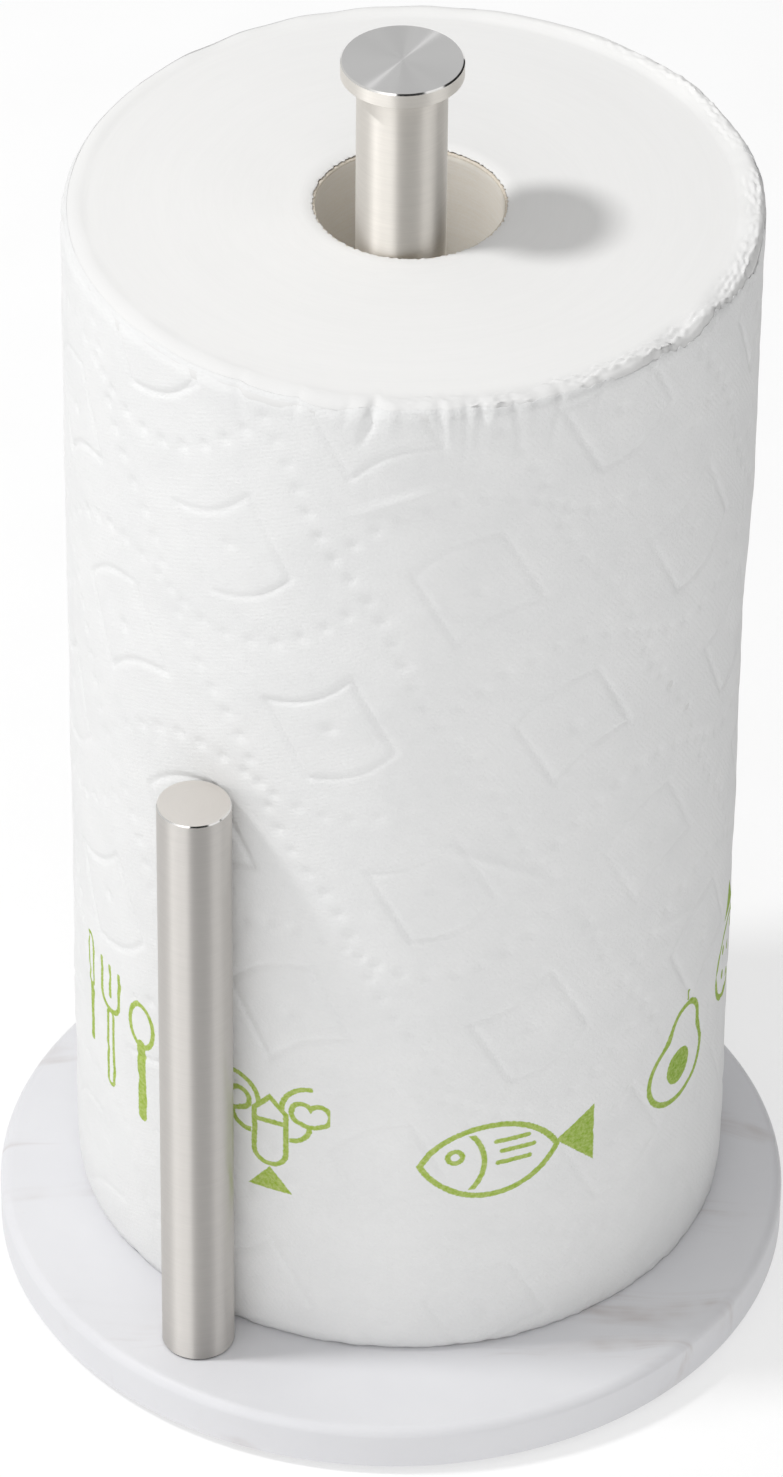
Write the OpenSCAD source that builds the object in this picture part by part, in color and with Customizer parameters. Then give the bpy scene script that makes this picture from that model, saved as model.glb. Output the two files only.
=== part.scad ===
// Free-standing paper towel holder: a stone base, an upright steel rod with a disc on top, a short
// steel bar beside the roll, and the roll of paper that stands on the rod.
// Millimetres, +Z up. The origin is on the table under the middle of the base.

/* [Base] */
// Diameter of the stone disc
base_d = 190.5; // [184:0.5:204]
// Thickness of the stone disc
base_t = 12; // [11:0.5:16]
// Radius of the soft upper edge
base_edge_r = 2.5; // [1:0.5:4]
// Chamfer of the lower edge
base_chamfer = 0.8; // [0.4:0.1:1.5]
// Diameter of the non-slip pad under the stone
pad_d = 182; // [170:1:183]
// Thickness of the non-slip pad
pad_t = 1.6; // [1:0.1:3]

/* [Centre rod] */
// Outer diameter of the rod
rod_d = 20.4; // [18:0.2:21]
// Wall of the rod's tube
rod_wall = 1.2; // [0.8:0.1:1.5]
// Height of the rod and its cap above the stone
rod_h = 324.2; // [322:0.2:340]
// Diameter of the disc on top of the rod
cap_d = 27.6; // [25:0.2:32]
// Thickness of the disc on top of the rod
cap_t = 4; // [3:0.2:6]
// Small bevel of the disc's edges
cap_bevel = 0.35; // [0.2:0.05:0.6]

/* [Side bar] */
// Outer diameter of the bar
bar_d = 17.2; // [14:0.2:17.2]
// Wall of the bar's tube
bar_wall = 1.2; // [0.8:0.1:1.5]
// Height of the bar above the stone
bar_h = 163.6; // [120:0.2:200]
// Distance of the bar's axis from the rod's axis
bar_reach = 77.6; // [77.6:0.1:82]
// Direction of the bar from the rod, counted from +X
bar_turn = 234.1; // [225:0.1:245]
// Small bevel of the bar's top edge
bar_bevel = 0.3; // [0.2:0.05:0.5]

/* [Paper roll] */
// Outer diameter of the full roll
roll_d = 156.8; // [120:0.2:156.8]
// Height of the roll
roll_h = 279; // [260:1:282]
// Inner diameter of the cardboard core
core_d = 42.8; // [42:0.1:43.5]
// Wall of the cardboard core
core_wall = 1; // [0.6:0.1:1.5]
// Thickness of the last turn of paper
wrap_t = 0.4; // [0.3:0.1:1]
// Direction in which the roll leans away from the rod, counted from +X
lean_turn = 79.5; // [75:0.5:85]
// Smallest gap between the rod and the core
core_gap = 0.25; // [0.2:0.05:0.5]
// Running gap between the core and the paper that turns round it
turn_gap = 0.05; // [0.03:0.01:0.1]

/* [Fasteners] */
// Thread diameter of the screw in the rod
rod_thread_d = 8; // [8:1:8]
// Thread diameter of the screw in the bar
bar_thread_d = 6; // [5:1:6]
// Thickness of the gaskets between metal and stone
gasket_t = 0.4; // [0.3:0.1:0.8]

/* [Hidden] */
$fn = 128;

stone_top = pad_t + base_t;
tube_foot = stone_top + gasket_t;
cap_top = stone_top + rod_h;
bar_top = stone_top + bar_h;
bar_pos = bar_reach * [cos(bar_turn), sin(bar_turn), 0];
roll_shift = (core_d - rod_d) / 2 - core_gap;
roll_pos = roll_shift * [cos(lean_turn), sin(lean_turn), 0];
core_out_d = core_d + 2 * core_wall;
winding_in_d = core_out_d + 2 * turn_gap;
winding_out_d = roll_d - 2 * wrap_t;

// The fasteners in proportion to their thread, stacked upwards from the mouth of a counterbore
pocket_play = 0.2;
head_h_ratio = 0.36;
head_d_ratio = 1.65;
washer_t_ratio = 0.2;
washer_d_ratio = 2;
spring_t_ratio = 0.25;
spring_d_ratio = 1.6;
hole_play = 0.5;
socket_ratio = 0.6;
insert_h_ratio = 1.9;
engagement_ratio = 1.5;
thread_tip = 0.8;
spigot_h = 8;

function head_h(thread) = head_h_ratio * thread;
function spring_t(thread) = spring_t_ratio * thread;
function washer_t(thread) = washer_t_ratio * thread;
function pocket_h(thread) = pocket_play + head_h(thread) + spring_t(thread) + washer_t(thread);
function pocket_d(thread) = washer_d_ratio * thread + 2;
function head_z(thread) = pad_t + pocket_play;
function spring_z(thread) = head_z(thread) + head_h(thread);
function washer_z(thread) = spring_z(thread) + spring_t(thread);

// A round piece with bevelled rims, standing on z
module bevelled_disc(d, h, z, low = 0, high = 0) {
  r = d / 2;
  translate([0, 0, z])
    rotate_extrude()
      polygon([[0, 0], [r - low, 0], [r, low], [r, h - high], [r - high, h], [0, h]]);
}

// A round tube from z upwards
module ring(outer_d, inner_d, h, z) {
  translate([0, 0, z])
    rotate_extrude()
      translate([inner_d / 2, 0]) square([(outer_d - inner_d) / 2, h]);
}

// The hole for a screw from below: a clearance hole and the counterbore for its head
module screw_hole(thread) {
  translate([0, 0, pad_t - 1]) cylinder(d = thread + 2 * hole_play, h = base_t + 2);
  translate([0, 0, pad_t - 1]) cylinder(d = pocket_d(thread), h = pocket_h(thread) + 1);
}

// The disc, with its upper edge rounded by an arc and its lower edge chamfered
module base_blank() {
  r = base_d / 2;
  e = base_edge_r;
  translate([0, 0, pad_t])
    rotate_extrude() {
      polygon([[0, 0], [r - base_chamfer, 0], [r, base_chamfer], [r, base_t - e], [r - e, base_t - e],
        [r - e, base_t], [0, base_t]]);
      intersection() {
        translate([r - e, base_t - e]) circle(r = e);
        translate([r - e, base_t - e]) square(e);
      }
    }
}

module marble_base() {
  color("whitesmoke")
    difference() {
      base_blank();
      screw_hole(rod_thread_d);
      translate(bar_pos) screw_hole(bar_thread_d);
    }
}

module base_pad() {
  color("dimgray") bevelled_disc(pad_d, pad_t, 0, high = 0.2);
}

// Upright tube, standing on its gasket, closed by a cap
module upright(d, wall, top) {
  ring(d, d - 2 * wall, top - tube_foot, tube_foot);
}

// Threaded bush in the foot of an upright, with its blind thread open downwards
module insert(d, wall, thread) {
  difference() {
    bevelled_disc(d - 2 * wall, insert_h_ratio * thread, tube_foot, low = 0.4, high = 0.4);
    translate([0, 0, tube_foot - 1]) cylinder(d = thread, h = engagement_ratio * thread + 2);
  }
}

module gasket(d) {
  ring(d - 0.8, d - 5, gasket_t, stone_top);
}

// Socket screw, its head down in the counterbore and its shank up in the insert
module socket_screw(thread) {
  shank_h = tube_foot + engagement_ratio * thread - spring_z(thread);
  difference() {
    union() {
      bevelled_disc(head_d_ratio * thread, head_h(thread), head_z(thread), low = 0.3);
      bevelled_disc(thread, shank_h, spring_z(thread), high = thread_tip);
    }
    translate([0, 0, head_z(thread) - 1])
      cylinder(d = socket_ratio * thread / cos(30), h = 1 + 0.75 * head_h(thread), $fn = 6);
  }
}

module flat_washer(thread) {
  ring(washer_d_ratio * thread, thread + 0.4, washer_t(thread), washer_z(thread));
}

// Spring washer: a flat ring with a slanting split
module split_washer(thread) {
  difference() {
    ring(spring_d_ratio * thread, thread + 0.4, spring_t(thread), spring_z(thread));
    translate([thread * 0.65, 0, spring_z(thread) + spring_t(thread) / 2])
      rotate([35, 0, 0]) cube([thread, 0.6, 4 * spring_t(thread)], center = true);
  }
}

module center_rod() {
  color("silver") upright(rod_d, rod_wall, cap_top - cap_t);
}

module rod_cap() {
  color("lightgray") {
    bevelled_disc(cap_d, cap_t, cap_top - cap_t, low = cap_bevel, high = cap_bevel);
    bevelled_disc(rod_d - 2 * rod_wall, spigot_h, cap_top - cap_t - spigot_h, low = 0.5);
  }
}

module rod_insert() {
  color("darkgray") insert(rod_d, rod_wall, rod_thread_d);
}

module rod_gasket() {
  color("dimgray") gasket(rod_d);
}

module rod_screw() {
  color("gray") socket_screw(rod_thread_d);
}

module rod_washer() {
  color("silver") flat_washer(rod_thread_d);
}

module rod_lock_washer() {
  color("gray") split_washer(rod_thread_d);
}

module side_bar() {
  color("silver") translate(bar_pos) upright(bar_d, bar_wall, bar_top - bar_wall);
}

module bar_cap() {
  color("lightgray")
    translate(bar_pos) {
      bevelled_disc(bar_d, bar_wall, bar_top - bar_wall, high = bar_bevel);
      bevelled_disc(bar_d - 2 * bar_wall, spigot_h, bar_top - bar_wall - spigot_h, low = 0.5);
    }
}

module bar_insert() {
  color("darkgray") translate(bar_pos) insert(bar_d, bar_wall, bar_thread_d);
}

module bar_gasket() {
  color("dimgray") translate(bar_pos) gasket(bar_d);
}

module bar_screw() {
  color("gray") translate(bar_pos) socket_screw(bar_thread_d);
}

module bar_washer() {
  color("silver") translate(bar_pos) flat_washer(bar_thread_d);
}

module bar_lock_washer() {
  color("gray") translate(bar_pos) split_washer(bar_thread_d);
}

module roll_core() {
  color("tan") translate(roll_pos) ring(core_out_d, core_d, roll_h, stone_top);
}

module towel_winding() {
  color("white") translate(roll_pos) ring(winding_out_d, winding_in_d, roll_h, stone_top);
}

module outer_wrap() {
  color("ivory") translate(roll_pos) ring(roll_d, winding_out_d, roll_h, stone_top);
}

marble_base();
base_pad();
center_rod();
rod_cap();
rod_insert();
rod_gasket();
rod_screw();
rod_washer();
rod_lock_washer();
side_bar();
bar_cap();
bar_insert();
bar_gasket();
bar_screw();
bar_washer();
bar_lock_washer();
roll_core();
towel_winding();
outer_wrap();
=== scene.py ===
import math

import bpy
import numpy as np
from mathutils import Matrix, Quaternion, Vector


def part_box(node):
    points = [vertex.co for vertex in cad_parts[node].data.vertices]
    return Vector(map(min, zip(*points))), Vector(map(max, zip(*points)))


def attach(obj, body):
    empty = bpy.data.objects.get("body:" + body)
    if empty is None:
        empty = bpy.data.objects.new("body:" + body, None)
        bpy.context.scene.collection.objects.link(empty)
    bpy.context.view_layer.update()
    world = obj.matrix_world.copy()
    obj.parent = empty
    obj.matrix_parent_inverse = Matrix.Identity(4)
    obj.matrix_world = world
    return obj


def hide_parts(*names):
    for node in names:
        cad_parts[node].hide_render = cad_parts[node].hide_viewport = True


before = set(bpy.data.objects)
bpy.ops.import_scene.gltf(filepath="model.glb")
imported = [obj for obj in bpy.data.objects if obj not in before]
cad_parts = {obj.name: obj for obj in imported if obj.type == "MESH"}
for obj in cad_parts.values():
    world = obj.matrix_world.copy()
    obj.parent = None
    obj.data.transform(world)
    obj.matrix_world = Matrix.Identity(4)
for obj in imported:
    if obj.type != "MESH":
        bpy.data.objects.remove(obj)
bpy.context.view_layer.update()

MM = 0.001


# ---- sizes, taken from the CAD nodes in model.glb

class Round:
    """The centre, radius and height range of a round CAD node, in millimetres."""

    def __init__(self, node):
        low, high = (np.array(corner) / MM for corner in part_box(node))
        self.x = (low[0] + high[0]) / 2
        self.y = (low[1] + high[1]) / 2
        self.r = (high[0] - low[0]) / 2
        self.low = low[2]
        self.high = high[2]


STONE = Round("marble_base")
PAD = Round("base_pad")
ROD = Round("center_rod")
ROD_TOP = Round("rod_cap")
BAR = Round("side_bar")
BAR_TOP = Round("bar_cap")
CORE = Round("roll_core")
WINDING = Round("towel_winding")
WRAP = Round("outer_wrap")

STONE_EDGE_R = 2.5
STONE_CHAMFER = 0.8
TUBE_WALL = 1.2
DISC_BEVEL = 0.35
BAR_BEVEL = 0.3
CORE_WALL = 1.0
SHARP = math.radians(32)


# ---- mesh tools

def new_object(name, mesh):
    piece = bpy.data.objects.new(name, mesh)
    bpy.context.collection.objects.link(piece)
    return piece


def ring_mesh(name, rings, ends):
    """A mesh of rings, an array (rings, points, 3) in mm. The profile runs anticlockwise as seen with the
    axis on its left. ends is "join" for a profile that closes on itself, or "cap" for flat end faces."""
    count, around = rings.shape[:2]
    index = np.arange(count * around).reshape(count, around)
    if ends == "join":
        index = np.vstack([index, index[:1]])
    here = index[:-1]
    above = index[1:]
    quads = np.stack([here, np.roll(here, -1, 1), np.roll(above, -1, 1), above], axis=-1)
    faces = quads.reshape(-1, 4).tolist()
    if ends == "cap":
        faces.append(index[0][::-1].tolist())
        faces.append(index[-1].tolist())
    mesh = bpy.data.meshes.new(name)
    mesh.from_pydata((rings.reshape(-1, 3) * MM).tolist(), [], faces)
    mesh.validate()
    mesh.shade_smooth()
    return mesh


def round_an_axis(size, radius, angle, height):
    """Points at this radius, direction and height from the axis of a Round."""
    x = size.x + radius * np.cos(angle)
    y = size.y + radius * np.sin(angle)
    return np.stack(np.broadcast_arrays(x, y, height), axis=-1)


def even_shading(piece, weight=50):
    """Smooth shading with sharp edges, and normals that follow the larger faces."""
    piece.data.set_sharp_from_angle(angle=SHARP)
    even = piece.modifiers.new("even_normals", "WEIGHTED_NORMAL")
    even.keep_sharp = True
    even.weight = weight


def lathe(name, profile, size, ends, around=256):
    """A turned piece about the upright axis of a Round, from (radius, height) points in mm."""
    turn = np.linspace(0, 2 * math.pi, around, endpoint=False)
    radius, height = np.array(profile).T
    points = round_an_axis(size, radius[:, None], turn, height[:, None])
    piece = new_object(name, ring_mesh(name, points, ends))
    even_shading(piece, 90)
    return piece


def arc(r, z, radius, start, end, steps=8):
    """Points on an arc about (r, z), from start to end in degrees."""
    turn = np.radians(np.linspace(start, end, steps + 1))
    return [(r + radius * math.cos(t), z + radius * math.sin(t)) for t in turn]


def cut(piece, cutter):
    """Takes cutter away from piece, and leaves the result in piece's mesh."""
    carve = piece.modifiers.new("cut", "BOOLEAN")
    carve.operation = "DIFFERENCE"
    carve.solver = "EXACT"
    carve.object = cutter
    bpy.context.view_layer.update()
    graph = bpy.context.evaluated_depsgraph_get()
    carved = bpy.data.meshes.new_from_object(piece.evaluated_get(graph))
    piece.modifiers.clear()
    piece.data = carved
    bpy.data.objects.remove(cutter)


def waves(arc_mm, height, wavelength, seed, count=28):
    """Smooth seeded noise of about unit size over the paper, from waves in all directions. It closes on
    itself after one turn, because every wave goes a whole number of times round the roll."""
    rng = np.random.default_rng(seed)
    total = np.zeros(np.broadcast(arc_mm, height).shape)
    for _ in range(count):
        heading = rng.uniform(0, 2 * math.pi)
        length = wavelength * rng.uniform(0.7, 1.5)
        rounds = round(TURN_LENGTH / length * math.cos(heading))
        rise = math.sin(heading) / length
        phase = rng.uniform(0, 2 * math.pi)
        total += np.cos(2 * math.pi * (rounds * arc_mm / TURN_LENGTH + rise * height) + phase)
    return total / math.sqrt(count / 2)


# ---- material tools

class Nodes:
    """Writes one node tree. Its methods add a node and give back one of its outputs."""

    def __init__(self, tree):
        self.tree = tree

    def feed(self, socket, value):
        if isinstance(value, bpy.types.NodeSocket):
            self.tree.links.new(value, socket)
        else:
            socket.default_value = value

    def add(self, kind, inputs, output=0, **settings):
        node = self.tree.nodes.new(kind)
        for key, value in settings.items():
            setattr(node, key, value)
        for key, value in inputs.items():
            self.feed(node.inputs[key], value)
        return node.outputs[output]

    def math(self, operation, *values):
        return self.add("ShaderNodeMath", dict(enumerate(values)), operation=operation)

    def times(self, first, second):
        return self.math("MULTIPLY", first, second)

    def vector(self, operation, *values):
        measures = operation in ("LENGTH", "DISTANCE", "DOT_PRODUCT")
        inputs = dict(enumerate(values))
        if operation == "SCALE":
            inputs = {0: values[0], 3: values[1]}
        return self.add("ShaderNodeVectorMath", inputs, 1 if measures else 0, operation=operation)

    def split(self, vector, axis):
        return self.add("ShaderNodeSeparateXYZ", {0: vector}, axis)

    def join(self, x, y, z):
        return self.add("ShaderNodeCombineXYZ", {0: x, 1: y, 2: z})

    def place(self):
        return self.add("ShaderNodeTexCoord", {}, "Object")

    def paper_place(self):
        return self.add("ShaderNodeUVMap", {}, uv_map="paper_mm")

    def noise(self, vector, scale, detail=2.0, rough=0.5, twist=0.0):
        inputs = {"Vector": vector, "Scale": scale, "Detail": detail, "Roughness": rough, "Distortion": twist}
        return self.add("ShaderNodeTexNoise", inputs, "Fac")

    def spread(self, value, low, high, new_low=0.0, new_high=1.0, smooth=False):
        kind = "SMOOTHSTEP" if smooth else "LINEAR"
        inputs = {"Value": value, "From Min": low, "From Max": high, "To Min": new_low, "To Max": new_high}
        return self.add("ShaderNodeMapRange", inputs, interpolation_type=kind)

    def mix(self, factor, first, second):
        inputs = {0: factor, 6: first, 7: second}
        return self.add("ShaderNodeMix", inputs, 2, data_type="RGBA")


class Material(Nodes):
    """Writes one node material."""

    def __init__(self, name):
        self.result = bpy.data.materials.new(name)
        self.result.use_nodes = True
        super().__init__(self.result.node_tree)
        self.shader = self.tree.nodes["Principled BSDF"]

    def bump(self, height, distance, strength):
        inputs = {"Strength": strength, "Distance": distance, "Height": height}
        return self.add("ShaderNodeBump", inputs, "Normal")

    def circles(self, heading, share, across, pitch):
        """A place for noise in rings: it changes with across, and only slowly with the heading."""
        return self.vector("ADD", self.vector("SCALE", heading, share),
                           self.join(0.0, 0.0, self.times(across, pitch)))

    def finish(self, **inputs):
        """Sets the shader's own sockets: Base_Color is the socket Base Color."""
        for key, value in inputs.items():
            self.feed(self.shader.inputs[key.replace("_", " ")], value)
        return self.result


def colour(red, green, blue):
    return (red, green, blue, 1.0)


def grey(level):
    return colour(level, level, level)


# ---- materials

def marble_material():
    """Cool white stone with soft, nearly level streaks and a satin face."""
    m = Material("marble")
    place = m.place()
    drift = m.noise(m.vector("MULTIPLY", place, (9.0, 14.0, 14.0)), 1.0, 3.0, 0.55)
    bend = m.times(m.math("SUBTRACT", drift, 0.5), 0.035)
    level = m.math("ADD", m.split(place, 1), bend)
    along = m.times(m.split(place, 0), 7.0)
    streak_place = m.join(along, m.times(level, 62.0), m.times(m.split(place, 2), 20.0))
    streak = m.noise(streak_place, 1.0, 4.0, 0.6, 0.6)
    vein = m.spread(streak, 0.53, 0.74, smooth=True)
    cloud = m.noise(place, 26.0, 5.0, 0.6)
    patches = m.spread(m.noise(place, 42.0, 3.0, 0.6), 0.42, 0.62, 0.1, 0.85, smooth=True)
    grain = m.noise(place, 900.0, 3.0, 0.6)
    body = m.mix(m.spread(cloud, 0.3, 0.75), colour(0.735, 0.735, 0.758), colour(0.775, 0.775, 0.794))
    tinted = m.mix(m.times(vein, patches), body, colour(0.54, 0.495, 0.48))
    flecked = m.mix(m.spread(grain, 0.62, 0.8, 0.0, 0.25), tinted, colour(0.68, 0.68, 0.70))
    height = m.math("ADD", m.times(grain, 0.3), m.noise(place, 240.0, 2.0))
    return m.finish(
        Base_Color=flecked,
        Roughness=m.spread(cloud, 0.3, 0.7, 0.36, 0.46),
        IOR=1.5,
        Specular_IOR_Level=0.45,
        Normal=m.bump(height, 0.00002, 0.35),
    )


def foam_material():
    """Dark non-slip foam with fine open cells."""
    m = Material("pad_foam")
    place = m.place()
    cells = m.add("ShaderNodeTexVoronoi", {"Vector": place, "Scale": 1400.0}, "Distance")
    tone = m.noise(place, 60.0, 4.0, 0.6)
    shade = m.mix(m.times(cells, tone), colour(0.012, 0.012, 0.013), colour(0.055, 0.055, 0.058))
    return m.finish(
        Base_Color=shade,
        Roughness=m.spread(tone, 0.3, 0.7, 0.85, 0.97),
        Normal=m.bump(cells, 0.00035, 0.7),
    )


def brushed_steel(name, size, turned_face, tint, rough, anisotropy=0.95, contrast=0.06):
    """Brushed steel. The hair lines run round the axis of a Round: on a wall they are level, and on a turned
    face they are circles."""
    m = Material(name)
    place = m.vector("SUBTRACT", m.place(), (size.x * MM, size.y * MM, 0.0))
    flat = m.vector("MULTIPLY", place, (1.0, 1.0, 0.0))
    heading = m.vector("NORMALIZE", flat)
    across = m.vector("LENGTH", flat) if turned_face else m.split(place, 2)
    hair = m.noise(m.circles(heading, 1.0, across, 3200.0), 1.0, 2.0, 0.7)
    broad = m.noise(m.circles(heading, 0.7, across, 700.0), 1.0, 3.0, 0.6)
    lines = m.math("ADD", m.times(hair, 0.6), m.times(broad, 0.4))
    shade = [(1 - contrast) * part for part in tint]
    body = m.mix(m.spread(lines, 0.33, 0.67), colour(*shade), colour(*tint))
    tangent = m.add("ShaderNodeTangent", {}, direction_type="RADIAL", axis="Z")
    return m.finish(
        Base_Color=body,
        Metallic=1.0,
        Roughness=m.spread(lines, 0.3, 0.7, rough - 0.3 * contrast, rough + 0.3 * contrast),
        Anisotropic=anisotropy,
        Anisotropic_Rotation=0.25,
        Tangent=tangent,
        Normal=m.bump(lines, 0.00001, 3.0 * contrast),
    )


def polished_edge():
    """The bright turned bevels round the two discs."""
    m = Material("polished_edge")
    wear = m.noise(m.place(), 900.0, 3.0, 0.6)
    return m.finish(
        Base_Color=m.mix(wear, colour(0.80, 0.79, 0.77), colour(0.90, 0.89, 0.87)),
        Metallic=1.0,
        Roughness=m.spread(wear, 0.3, 0.7, 0.07, 0.12),
    )


def machined_steel(name, tint, rough):
    """Plain machined steel for the fasteners, with fine tool marks and a little wear."""
    m = Material(name)
    place = m.place()
    marks = m.noise(m.vector("MULTIPLY", place, (300.0, 300.0, 5200.0)), 1.0, 2.0, 0.6)
    wear = m.noise(place, 420.0, 4.0, 0.65)
    shade = [0.72 * part for part in tint]
    return m.finish(
        Base_Color=m.mix(m.spread(wear, 0.35, 0.65), colour(*shade), colour(*tint)),
        Metallic=1.0,
        Roughness=m.spread(marks, 0.3, 0.7, rough - 0.06, rough + 0.08),
        Normal=m.bump(marks, 0.00002, 0.4),
    )


def gasket_material():
    m = Material("gasket_rubber")
    place = m.place()
    skin = m.noise(place, 1500.0, 3.0, 0.6)
    return m.finish(
        Base_Color=m.mix(skin, colour(0.015, 0.015, 0.016), colour(0.05, 0.05, 0.052)),
        Roughness=m.spread(skin, 0.3, 0.7, 0.7, 0.85),
        Normal=m.bump(skin, 0.00003, 0.5),
    )


def board_material():
    """Cream spiral-wound board: level paper lines, fibres, the spiral's seam and a browner sawn edge."""
    m = Material("core_board")
    place = m.vector("SUBTRACT", m.place(), (CORE.x * MM, CORE.y * MM, 0.0))
    turn = m.math("ARCTAN2", m.split(place, 1), m.split(place, 0))
    climb = m.times(m.split(place, 2), 1.0 / 0.074)
    helix = m.math("FRACT", m.math("ADD", climb, m.times(turn, 0.5 / math.pi)))
    seam = m.spread(m.math("ABSOLUTE", m.math("SUBTRACT", helix, 0.5)), 0.0, 0.007, 1.0, 0.0, smooth=True)
    lines = m.noise(m.vector("MULTIPLY", place, (90.0, 90.0, 2600.0)), 1.0, 3.0, 0.6)
    fibres = m.noise(place, 1900.0, 4.0, 0.7)
    mottled = m.math("ADD", m.times(lines, 0.5), m.times(fibres, 0.5))
    body = m.mix(m.spread(mottled, 0.35, 0.65), colour(0.94, 0.89, 0.805), colour(0.985, 0.96, 0.91))
    seamed = m.mix(m.times(seam, 0.4), body, colour(0.52, 0.47, 0.40))
    near_rim = m.spread(m.split(place, 2), (CORE.high - 1.8) * MM, (CORE.high - 1.2) * MM, smooth=True)
    sawn = m.times(near_rim, m.spread(fibres, 0.35, 0.6, 0.5, 1.0))
    edged = m.mix(sawn, seamed, colour(0.66, 0.59, 0.49))
    height = m.math("SUBTRACT", mottled, m.times(seam, 1.4))
    return m.finish(
        Base_Color=edged,
        Roughness=m.spread(fibres, 0.3, 0.7, 0.82, 0.94),
        Normal=m.bump(height, 0.00008, 0.5),
    )


def winding_material():
    """The end of the wound paper: the edges of its turns show as faint, broken circles."""
    m = Material("wound_paper")
    place = m.vector("SUBTRACT", m.place(), (WINDING.x * MM, WINDING.y * MM, 0.0))
    flat = m.vector("MULTIPLY", place, (1.0, 1.0, 0.0))
    heading = m.vector("NORMALIZE", flat)
    out = m.vector("LENGTH", flat)
    drift = m.noise(place, 38.0, 2.0)
    shifted = m.math("ADD", out, m.times(drift, 0.0016))
    plies = m.noise(m.circles(heading, 5.0, shifted, 1900.0), 1.0, 2.0, 0.6)
    bands = m.noise(m.circles(heading, 1.6, shifted, 420.0), 1.0, 3.0, 0.6)
    lint = m.noise(place, 700.0, 4.0, 0.7)
    lines = m.math("ADD", m.times(plies, 0.55), m.times(bands, 0.45))
    body = m.mix(m.spread(lines, 0.32, 0.62), colour(0.819, 0.816, 0.807), colour(0.835, 0.832, 0.823))
    # Painted shade: the top is painted darker near its rounded outer edge at the front, to tone down the
    # light on that rounding.
    near_rim = m.spread(out, (WRAP.r - 6.0) * MM, (WRAP.r - 1.8) * MM, smooth=True)
    in_front = m.spread(m.split(heading, 1), -0.1, 0.6, 1.0, 0.0, smooth=True)
    body = m.mix(m.times(near_rim, in_front), body, colour(0.765, 0.763, 0.757))
    height = m.math("ADD", lines, m.times(lint, 0.5))
    return m.finish(
        Base_Color=body,
        Roughness=m.spread(lint, 0.3, 0.7, 0.9, 1.0),
        Specular_IOR_Level=0.2,
        Normal=m.bump(height, 0.00008, 0.25),
    )


class Pictogram:
    """Distances in mm, in the paper's own (along, up) millimetres, to the strokes of small line drawings."""

    def __init__(self, m, place):
        self.m = m
        self.place = place
        self.ink = None

    def put(self, distance, half_width=0.0):
        """Adds a shape to the ink: half_width makes a line of it, and none leaves it filled."""
        m = self.m
        if half_width:
            distance = m.math("SUBTRACT", m.math("ABSOLUTE", distance), half_width)
        self.ink = distance if self.ink is None else m.math("MINIMUM", self.ink, distance)

    def bar(self, start, end, radius):
        """Signed distance to a round-ended bar."""
        m = self.m
        span = Vector((end[0] - start[0], end[1] - start[1], 0.0))
        run = span.normalized()
        offset = m.vector("SUBTRACT", self.place, (start[0], start[1], 0.0))
        along = m.vector("DOT_PRODUCT", offset, tuple(run))
        held = m.add("ShaderNodeClamp", {"Value": along, "Min": 0.0, "Max": span.length})
        gap = m.vector("DISTANCE", offset, m.vector("SCALE", tuple(run), held))
        return m.math("SUBTRACT", gap, radius)

    def oval(self, centre, half_long, half_up):
        """Signed distance, close near the outline, to an ellipse."""
        m = self.m
        offset = m.vector("SUBTRACT", self.place, (centre[0], centre[1], 0.0))
        once = m.vector("LENGTH", m.vector("MULTIPLY", offset, (1 / half_long, 1 / half_up, 0.0)))
        twice = m.vector("LENGTH", m.vector("MULTIPLY", offset, (1 / half_long ** 2, 1 / half_up ** 2, 0.0)))
        grown = m.times(once, m.math("SUBTRACT", once, 1.0))
        return m.math("DIVIDE", grown, m.math("MAXIMUM", twice, 1e-4))

    def side(self, point, heading):
        """Signed distance to the half plane behind point. Its outward normal has this heading in degrees."""
        m = self.m
        normal = Vector((math.cos(math.radians(heading)), math.sin(math.radians(heading)), 0.0))
        reach = normal.dot(Vector((point[0], point[1], 0.0)))
        return m.math("SUBTRACT", m.vector("DOT_PRODUCT", self.place, tuple(normal)), reach)

    def common(self, *shapes):
        result = shapes[0]
        for shape in shapes[1:]:
            result = self.m.math("MAXIMUM", result, shape)
        return result

    def line_arc(self, centre, radius, half_width, *cuts):
        """A line along a circle, kept only behind each (point, heading) cut."""
        ring = self.m.math("SUBTRACT", self.m.math("ABSOLUTE", self.oval(centre, radius, radius)), half_width)
        self.put(self.common(ring, *[self.side(point, heading) for point, heading in cuts]))


LINE = 0.62
FULL_INK = 110.0


def draw_knife(p, x, y):
    p.put(p.bar((x, y + 3), (x - 0.6, y + 15), 1.5), 0.45)
    p.put(p.bar((x, y - 15), (x, y + 1), 0.95))


def draw_fork(p, x, y):
    p.put(p.bar((x, y - 17), (x, y + 3), 1.35), 0.5)
    for shift in (-4.2, 0.0, 4.2):
        p.put(p.bar((x + shift, y + 9), (x + shift, y + 18), 0.55))
    p.line_arc((x, y + 8.8), 4.2, LINE, ((x, y + 8.8), 90))


def draw_spoon(p, x, y):
    p.put(p.oval((x, y + 12), 4.3, 6.2), LINE)
    p.put(p.bar((x, y - 16), (x, y + 6), 1.45))


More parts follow.
